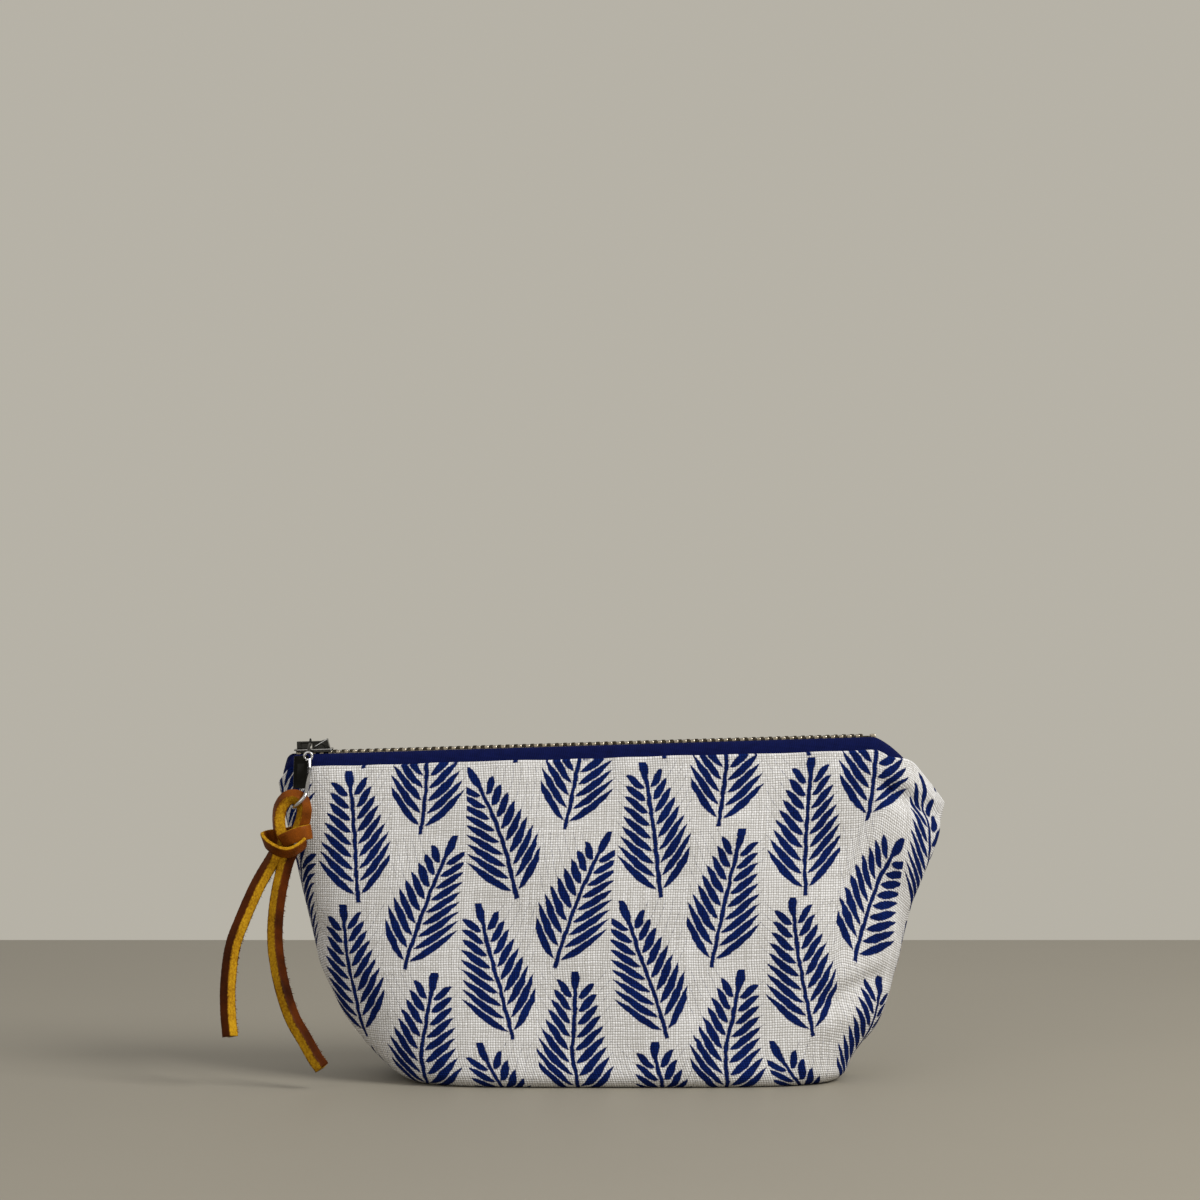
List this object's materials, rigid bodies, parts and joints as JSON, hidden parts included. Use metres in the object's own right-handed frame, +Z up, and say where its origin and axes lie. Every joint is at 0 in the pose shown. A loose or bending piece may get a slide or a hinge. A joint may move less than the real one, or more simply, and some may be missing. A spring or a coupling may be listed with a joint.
{
  "type": "zippered pouch",
  "caption": "Small boxed-corner fabric pouch with a flat base, closed by a metal zip along its top ridge, with a knotted leather lace on the zip pull.",
  "frame": {"origin": "centre of the flat base, on the surface that the pouch stands on", "axes": "+X along the zip away from the closed slider, +Y to the back, +Z up"},
  "size_m": [0.2165, 0.0666, 0.1032],
  "materials": {
    "printed_linen": "plain-weave natural linen with a navy leaf print",
    "lining_cloth": "plain woven cotton",
    "zip_tape": "navy woven zip tape",
    "zip_teeth": "antique brass, dark and worn bright on the edges",
    "slider_metal": "polished gunmetal plate",
    "lace_leather": "brown grain face with raw golden cut edges"
  },
  "bodies": {
    "pouch": {"outer_front_panel": "printed_linen", "outer_back_panel": "printed_linen", "lining_front_panel": "lining_cloth", "lining_back_panel": "lining_cloth", "zip_tape_front": "zip_tape", "zip_tape_back": "zip_tape", "teeth_front": "zip_teeth", "teeth_back": "zip_teeth", "top_stop_front": "zip_teeth", "top_stop_back": "zip_teeth", "bottom_stop": "zip_teeth"},
    "slider": {"slider_body": "slider_metal", "slider_crown": "slider_metal"},
    "pull": {"pull_wire": "slider_metal", "lace_loop": "lace_leather", "lace_band": "lace_leather", "lace_tail_left": "lace_leather", "lace_tail_right": "lace_leather"}
  },
  "joints": [
    {"name": "zipper_slide", "type": "slide", "parent": "pouch", "child": "slider", "axis": [0.9996, 0, 0.03], "range_m": [0, 0.16], "deforming": ["teeth_front", "teeth_back"]},
    {"name": "pull_swing", "type": "hinge", "parent": "slider", "child": "pull", "pos_m": [-0.09164, 0, 0.10075], "axis": [-0.9996, 0, -0.03], "range_deg": [0, 170]}
  ]
}
